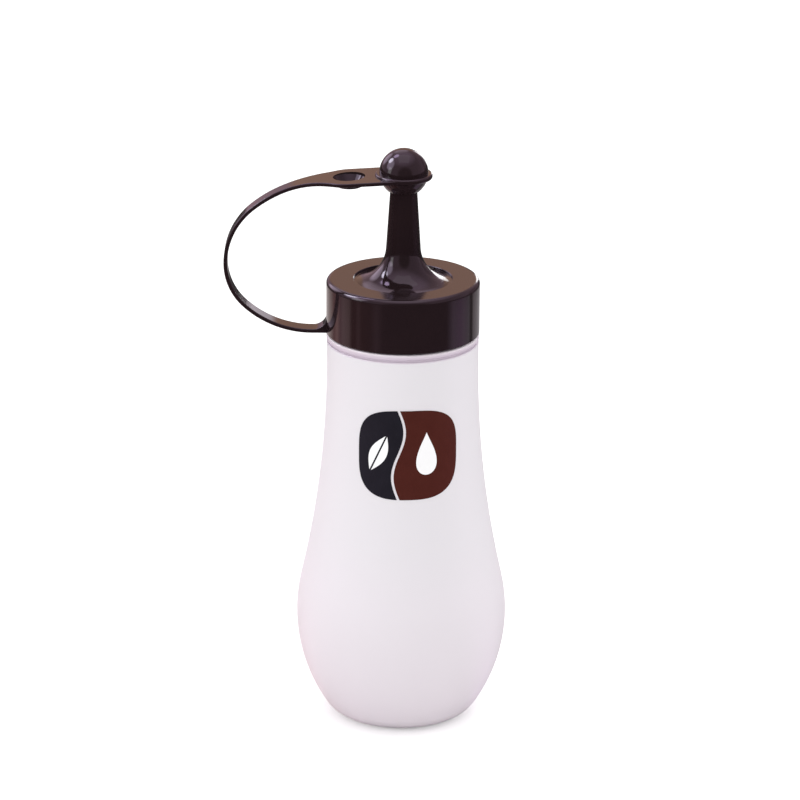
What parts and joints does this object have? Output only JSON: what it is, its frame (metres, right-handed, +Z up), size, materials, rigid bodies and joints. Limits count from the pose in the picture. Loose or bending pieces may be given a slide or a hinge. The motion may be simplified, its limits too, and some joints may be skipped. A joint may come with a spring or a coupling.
{
  "type": "squeeze bottle",
  "caption": "Squeeze bottle for oil or dressing: waisted translucent body, screw cap with tapered nozzle, and a looped strap that holds a ball stopper on the nozzle.",
  "frame": {"origin": "on the bottle's axis, on the plane that the bottle stands on", "axes": "+Z up along the bottle's axis, -X towards the strap's loop, -Y the front that carries the printed emblem"},
  "size_m": [0.0948, 0.0706, 0.1978],
  "materials": {
    "body_plastic": "frosted translucent white",
    "cap_plastic": "glossy dark brown"
  },
  "bodies": {
    "root": {"bottle": "body_plastic", "cap": "cap_plastic"}
  },
  "joints": []
}
